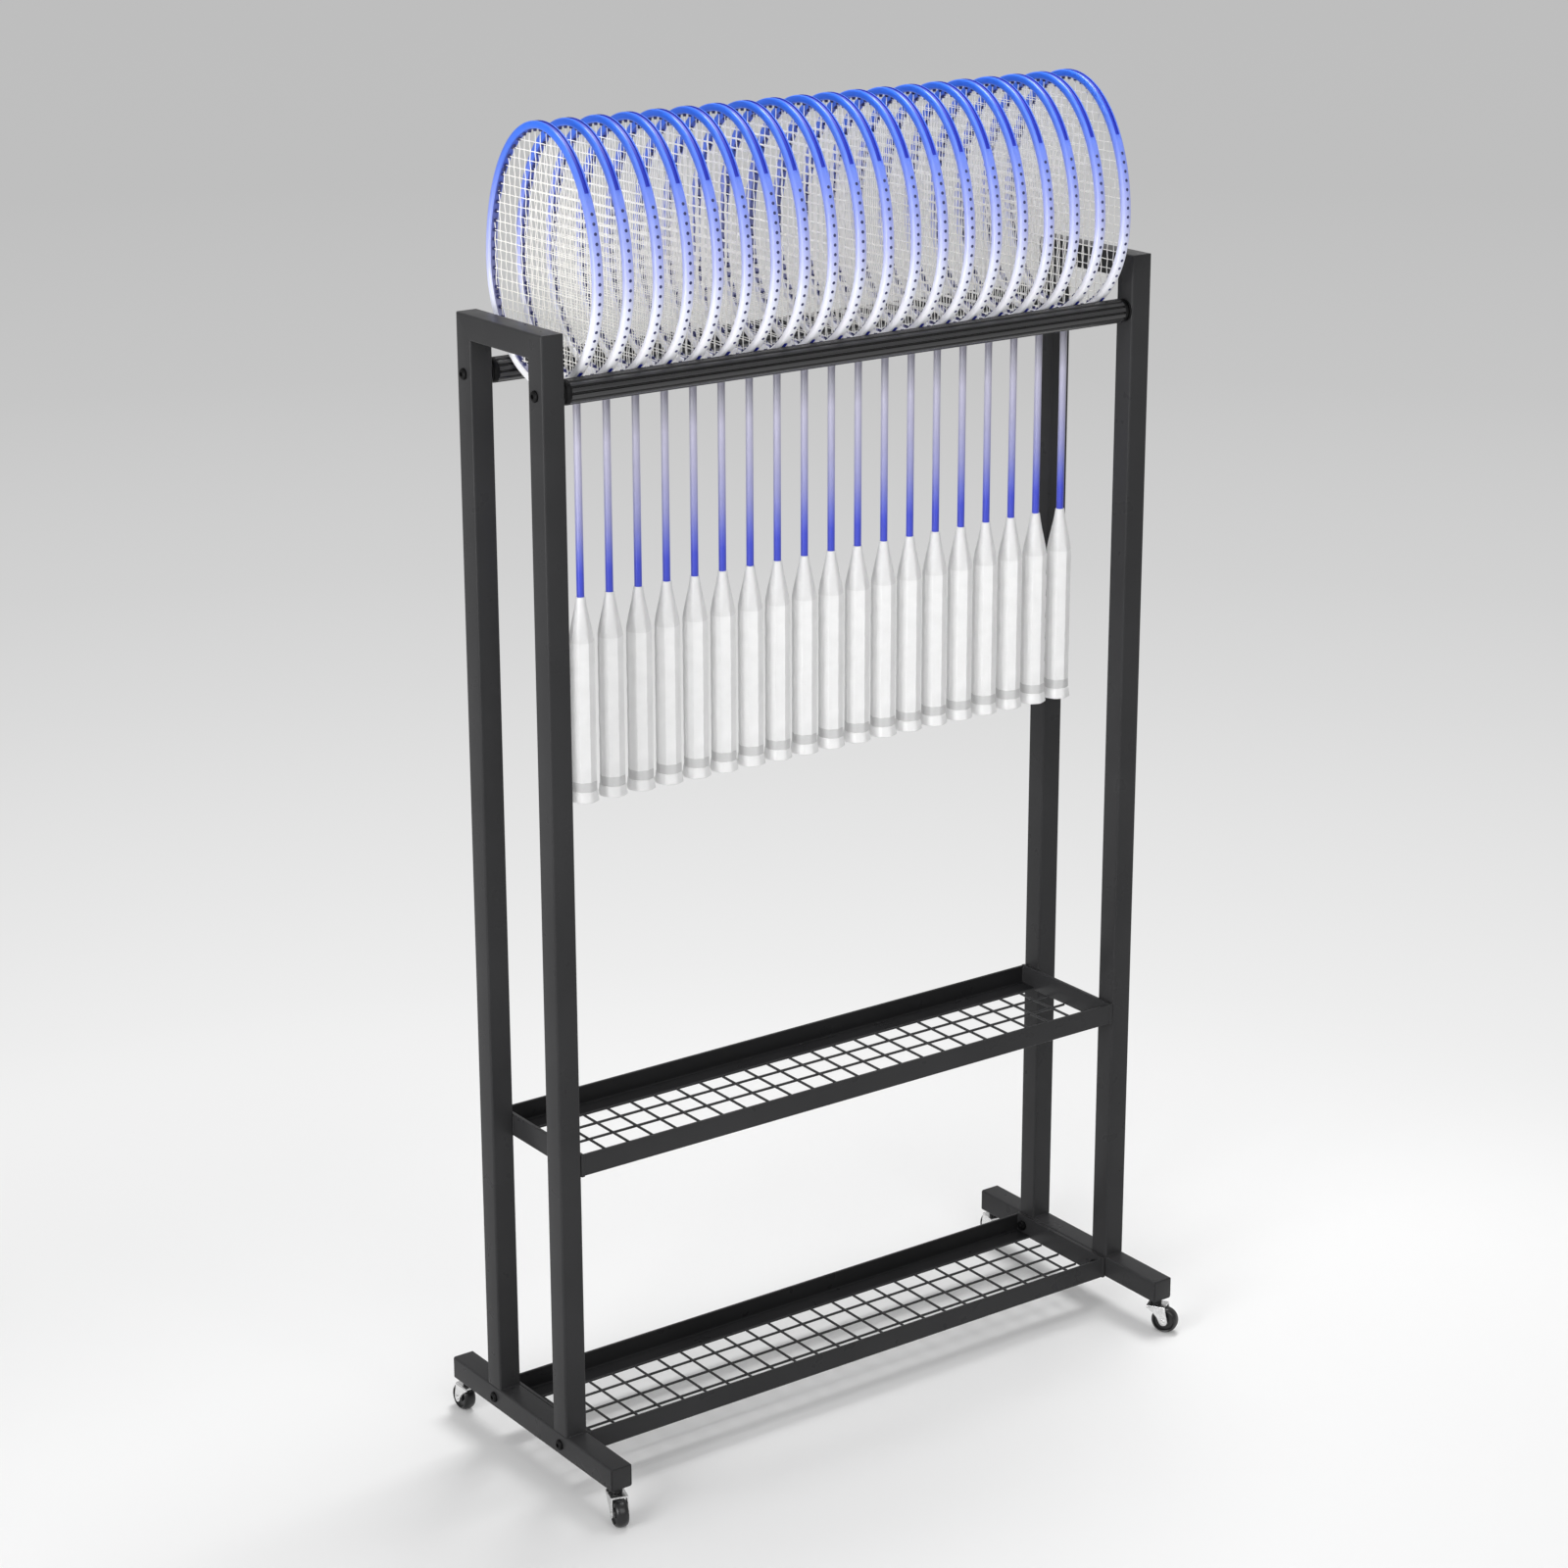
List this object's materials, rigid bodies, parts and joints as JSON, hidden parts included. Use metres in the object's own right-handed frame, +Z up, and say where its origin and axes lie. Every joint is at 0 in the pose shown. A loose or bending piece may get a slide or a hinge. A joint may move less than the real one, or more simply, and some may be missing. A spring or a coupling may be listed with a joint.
{
  "type": "racket and ball rack",
  "caption": "Wheeled display rack of black square tube that hangs rackets by their heads between fluted rails, over wire-mesh trays for balls.",
  "frame": {"origin": "on the floor under the middle of the feet, halfway along the rack's length", "axes": "+X along the rails to the viewer's right, -Y towards the front, +Z up"},
  "size_m": [0.7569, 0.3389, 1.3859],
  "materials": {
    "black_steel": "satin black powder coat on square steel tube and angle",
    "rail": "black anodised fluted extrusion",
    "black_wire": "black powder-coated welded wire",
    "black_bolt": "black oxide button-head bolt",
    "black_plastic": "moulded black plastic",
    "zinc": "bright zinc-plated pressed steel",
    "wheel": "black moulded wheel",
    "racket": "gloss paint fading from blue at the head's top to white, white strings, cone and grip"
  },
  "bodies": {
    "rack": {"left_foot": "black_steel", "left_crossbar": "black_steel", "left_front_upright": "black_steel", "left_front_foot_cap": "black_plastic", "left_front_caster_stem": "black_plastic", "left_front_rail_bolt": "black_bolt", "left_front_foot_bolt": "black_bolt", "left_rear_upright": "black_steel", "left_rear_foot_cap": "black_plastic", "left_rear_caster_stem": "black_plastic", "left_rear_rail_bolt": "black_bolt", "left_rear_foot_bolt": "black_bolt", "right_foot": "black_steel", "right_crossbar": "black_steel", "right_front_upright": "black_steel", "right_front_foot_cap": "black_plastic", "right_front_caster_stem": "black_plastic", "right_front_rail_bolt": "black_bolt", "right_front_foot_bolt": "black_bolt", "right_rear_upright": "black_steel", "right_rear_foot_cap": "black_plastic", "right_rear_caster_stem": "black_plastic", "right_rear_rail_bolt": "black_bolt", "right_rear_foot_bolt": "black_bolt", "front_rail": "rail", "rear_rail": "rail", "mid_tray_frame": "black_steel", "mid_tray_mesh": "black_wire", "lower_tray_frame": "black_steel", "lower_tray_mesh": "black_wire"},
    "left_front_swivel": {"left_front_caster_fork": "zinc"},
    "left_front_wheel": {"left_front_caster_wheel": "wheel"},
    "left_rear_swivel": {"left_rear_caster_fork": "zinc"},
    "left_rear_wheel": {"left_rear_caster_wheel": "wheel"},
    "right_front_swivel": {"right_front_caster_fork": "zinc"},
    "right_front_wheel": {"right_front_caster_wheel": "wheel"},
    "right_rear_swivel": {"right_rear_caster_fork": "zinc"},
    "right_rear_wheel": {"right_rear_caster_wheel": "wheel"},
    "hung_racket_01": {"racket_01": "racket"},
    "hung_racket_02": {"racket_02": "racket"},
    "hung_racket_03": {"racket_03": "racket"},
    "hung_racket_04": {"racket_04": "racket"},
    "hung_racket_05": {"racket_05": "racket"},
    "hung_racket_06": {"racket_06": "racket"},
    "hung_racket_07": {"racket_07": "racket"},
    "hung_racket_08": {"racket_08": "racket"},
    "hung_racket_09": {"racket_09": "racket"},
    "hung_racket_10": {"racket_10": "racket"},
    "hung_racket_11": {"racket_11": "racket"},
    "hung_racket_12": {"racket_12": "racket"},
    "hung_racket_13": {"racket_13": "racket"},
    "hung_racket_14": {"racket_14": "racket"},
    "hung_racket_15": {"racket_15": "racket"},
    "hung_racket_16": {"racket_16": "racket"},
    "hung_racket_17": {"racket_17": "racket"},
    "hung_racket_18": {"racket_18": "racket"},
    "hung_racket_19": {"racket_19": "racket"},
    "hung_racket_20": {"racket_20": "racket"}
  },
  "joints": [
    {"name": "left_front_swivel_turn", "type": "hinge", "parent": "rack", "child": "left_front_swivel", "pos_m": [-0.361, -0.143, 0.0332], "axis": [0, 0, 1], "continuous": true},
    {"name": "left_front_wheel_roll", "type": "hinge", "parent": "left_front_swivel", "child": "left_front_wheel", "pos_m": [-0.36431, -0.15349, 0.015], "axis": [0.9537, -0.3007, 0], "continuous": true},
    {"name": "left_rear_swivel_turn", "type": "hinge", "parent": "rack", "child": "left_rear_swivel", "pos_m": [-0.361, 0.143, 0.0332], "axis": [0, 0, 1], "continuous": true},
    {"name": "left_rear_wheel_roll", "type": "hinge", "parent": "left_rear_swivel", "child": "left_rear_wheel", "pos_m": [-0.361, 0.154, 0.015], "axis": [-1, 0, 0], "continuous": true},
    {"name": "right_front_swivel_turn", "type": "hinge", "parent": "rack", "child": "right_front_swivel", "pos_m": [0.361, -0.143, 0.0332], "axis": [0, 0, 1], "continuous": true},
    {"name": "right_front_wheel_roll", "type": "hinge", "parent": "right_front_swivel", "child": "right_front_wheel", "pos_m": [0.36699, -0.15222, 0.015], "axis": [0.8387, 0.5446, 0], "continuous": true},
    {"name": "right_rear_swivel_turn", "type": "hinge", "parent": "rack", "child": "right_rear_swivel", "pos_m": [0.361, 0.143, 0.0332], "axis": [0, 0, 1], "continuous": true},
    {"name": "right_rear_wheel_roll", "type": "hinge", "parent": "right_rear_swivel", "child": "right_rear_wheel", "pos_m": [0.36319, 0.15378, 0.015], "axis": [-0.9799, 0.1994, 0], "continuous": true},
    {"name": "racket_01_lift", "type": "slide", "parent": "rack", "child": "hung_racket_01", "axis": [0, 0, 1], "range_m": [0, 0.46]},
    {"name": "racket_02_lift", "type": "slide", "parent": "rack", "child": "hung_racket_02", "axis": [0, 0, 1], "range_m": [0, 0.46]},
    {"name": "racket_03_lift", "type": "slide", "parent": "rack", "child": "hung_racket_03", "axis": [0, 0, 1], "range_m": [0, 0.46]},
    {"name": "racket_04_lift", "type": "slide", "parent": "rack", "child": "hung_racket_04", "axis": [0, 0, 1], "range_m": [0, 0.46]},
    {"name": "racket_05_lift", "type": "slide", "parent": "rack", "child": "hung_racket_05", "axis": [0, 0, 1], "range_m": [0, 0.46]},
    {"name": "racket_06_lift", "type": "slide", "parent": "rack", "child": "hung_racket_06", "axis": [0, 0, 1], "range_m": [0, 0.46]},
    {"name": "racket_07_lift", "type": "slide", "parent": "rack", "child": "hung_racket_07", "axis": [0, 0, 1], "range_m": [0, 0.46]},
    {"name": "racket_08_lift", "type": "slide", "parent": "rack", "child": "hung_racket_08", "axis": [0, 0, 1], "range_m": [0, 0.46]},
    {"name": "racket_09_lift", "type": "slide", "parent": "rack", "child": "hung_racket_09", "axis": [0, 0, 1], "range_m": [0, 0.46]},
    {"name": "racket_10_lift", "type": "slide", "parent": "rack", "child": "hung_racket_10", "axis": [0, 0, 1], "range_m": [0, 0.46]},
    {"name": "racket_11_lift", "type": "slide", "parent": "rack", "child": "hung_racket_11", "axis": [0, 0, 1], "range_m": [0, 0.46]},
    {"name": "racket_12_lift", "type": "slide", "parent": "rack", "child": "hung_racket_12", "axis": [0, 0, 1], "range_m": [0, 0.46]},
    {"name": "racket_13_lift", "type": "slide", "parent": "rack", "child": "hung_racket_13", "axis": [0, 0, 1], "range_m": [0, 0.46]},
    {"name": "racket_14_lift", "type": "slide", "parent": "rack", "child": "hung_racket_14", "axis": [0, 0, 1], "range_m": [0, 0.46]},
    {"name": "racket_15_lift", "type": "slide", "parent": "rack", "child": "hung_racket_15", "axis": [0, 0, 1], "range_m": [0, 0.46]},
    {"name": "racket_16_lift", "type": "slide", "parent": "rack", "child": "hung_racket_16", "axis": [0, 0, 1], "range_m": [0, 0.46]},
    {"name": "racket_17_lift", "type": "slide", "parent": "rack", "child": "hung_racket_17", "axis": [0, 0, 1], "range_m": [0, 0.46]},
    {"name": "racket_18_lift", "type": "slide", "parent": "rack", "child": "hung_racket_18", "axis": [0, 0, 1], "range_m": [0, 0.46]},
    {"name": "racket_19_lift", "type": "slide", "parent": "rack", "child": "hung_racket_19", "axis": [0, 0, 1], "range_m": [0, 0.46]},
    {"name": "racket_20_lift", "type": "slide", "parent": "rack", "child": "hung_racket_20", "axis": [0, 0, 1], "range_m": [0, 0.46]}
  ]
}
